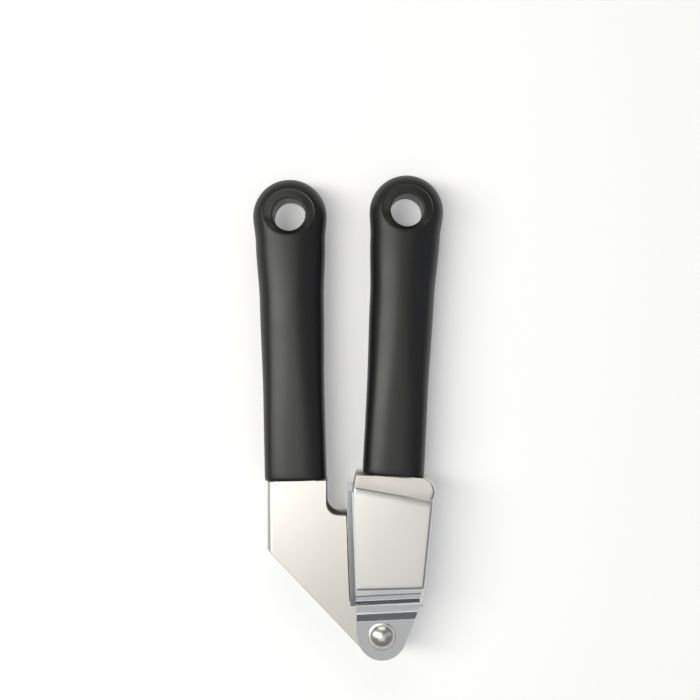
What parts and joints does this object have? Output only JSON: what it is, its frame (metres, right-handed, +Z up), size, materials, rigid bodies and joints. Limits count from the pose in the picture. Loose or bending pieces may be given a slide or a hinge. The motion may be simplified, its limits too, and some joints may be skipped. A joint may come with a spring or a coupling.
{
  "type": "garlic press",
  "caption": "Hinged hand press for garlic: a plunger lever and a perforated basket lever on one rivet, each with a moulded black grip and a hanging hole.",
  "frame": {"origin": "middle of the underside of the closed press, lying flat", "axes": "+Y towards the handles' tips, +Z up along the rivet, +X towards the basket lever's side"},
  "size_m": [0.0706, 0.1776, 0.0236],
  "materials": {
    "grip_plastic": "black moulded plastic with a fine matt grain",
    "lever_steel": "satin stainless steel sheet",
    "jacket_steel": "satin stainless steel sheet with a fine grain along the handle",
    "basket_steel": "polished stainless steel",
    "plunger_steel": "plain rolled stainless steel",
    "rivet_steel": "tumbled bright stainless steel"
  },
  "bodies": {
    "basket_side": {"sieve_basket": "basket_steel", "basket_jacket": "jacket_steel", "basket_grip": "grip_plastic", "pivot_rivet": "rivet_steel", "washer_front": "rivet_steel", "washer_rear": "rivet_steel", "pivot_spacer": "plunger_steel"},
    "plunger_side": {"plunger_lever": "lever_steel", "plunger_frame": "plunger_steel", "press_plate": "plunger_steel", "plunger_grip": "grip_plastic"}
  },
  "joints": [
    {"name": "lever_pivot", "type": "hinge", "parent": "basket_side", "child": "plunger_side", "pos_m": [0.01229, -0.07996, 0.0118], "axis": [0, 0, 1], "range_deg": [0, 180]}
  ]
}
